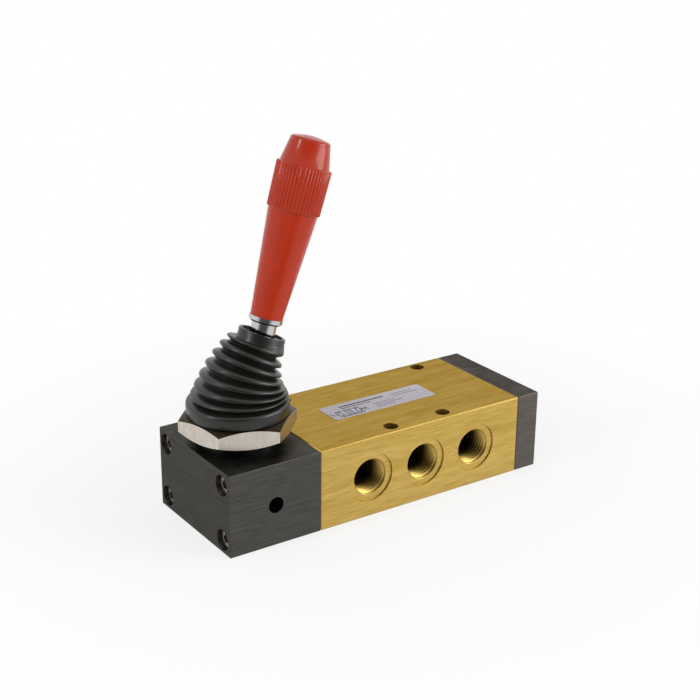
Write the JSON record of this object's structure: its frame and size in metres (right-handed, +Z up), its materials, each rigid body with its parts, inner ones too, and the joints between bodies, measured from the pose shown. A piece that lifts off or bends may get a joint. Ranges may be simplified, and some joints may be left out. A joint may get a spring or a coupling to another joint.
{
  "type": "hand lever air valve",
  "caption": "Hand lever spool valve for compressed air: gold ported body, black end blocks, rubber boot, panel nut and tilting red-handled lever with spring return.",
  "frame": {"origin": "centre of the underside of the gold valve body", "axes": "+X along the spool, from the lever block to the end cap; +Y towards the back face with the two outlet ports; +Z up"},
  "size_m": [0.1351, 0.049, 0.133],
  "materials": {
    "gold_anodised": "satin gold anodised, brushed lengthwise",
    "black_anodised": "satin black anodised",
    "black_steel": "black oxide",
    "nitrile": "moulded",
    "cage_plastic": "moulded acetal",
    "spool_aluminium": "ground and hard anodised",
    "spring_steel": "drawn wire",
    "bush_steel": "black oxide, turned",
    "plated_nut": "plated, turned faces",
    "pin_steel": "ground",
    "boot_rubber": "moulded, matt",
    "chrome_rod": "polished chrome plate",
    "red_plastic": "moulded, glossy",
    "label_film": "silver film label"
  },
  "bodies": {
    "valve": {"valve_body": "gold_anodised", "lever_block": "black_anodised", "end_cap": "black_anodised", "block_screws": "black_steel", "cap_screws": "black_steel", "block_seal_ring": "nitrile", "cap_seal_ring": "nitrile", "bush_seal_ring": "nitrile", "spool_seals": "nitrile", "seal_cages": "cage_plastic", "spool_guides": "cage_plastic", "return_spring": "spring_steel", "spring_seat": "spool_aluminium", "mounting_bush": "bush_steel", "panel_nut": "plated_nut", "pivot_pin": "pin_steel", "boot": "boot_rubber", "label": "label_film"},
    "spool": {"spool": "spool_aluminium"},
    "lever": {"lever_rod": "chrome_rod", "rod_collar": "chrome_rod", "handle_grip": "red_plastic", "handle_knob": "red_plastic"}
  },
  "joints": [
    {"name": "lever_swing", "type": "hinge", "parent": "valve", "child": "lever", "pos_m": [-0.06175, 0, 0.034], "axis": [0, 1, 0], "range_deg": [-34.2, 0], "stiffness_Nm_per_rad": 0.3, "deforming": ["boot"]},
    {"name": "spool_slide", "type": "slide", "parent": "valve", "child": "spool", "axis": [1, 0, 0], "range_m": [0, 0.0112], "deforming": ["return_spring"]}
  ],
  "couplings": [
    {"joint": "spool_slide", "follows": "lever_swing", "m_per_rad": -0.018719}
  ]
}
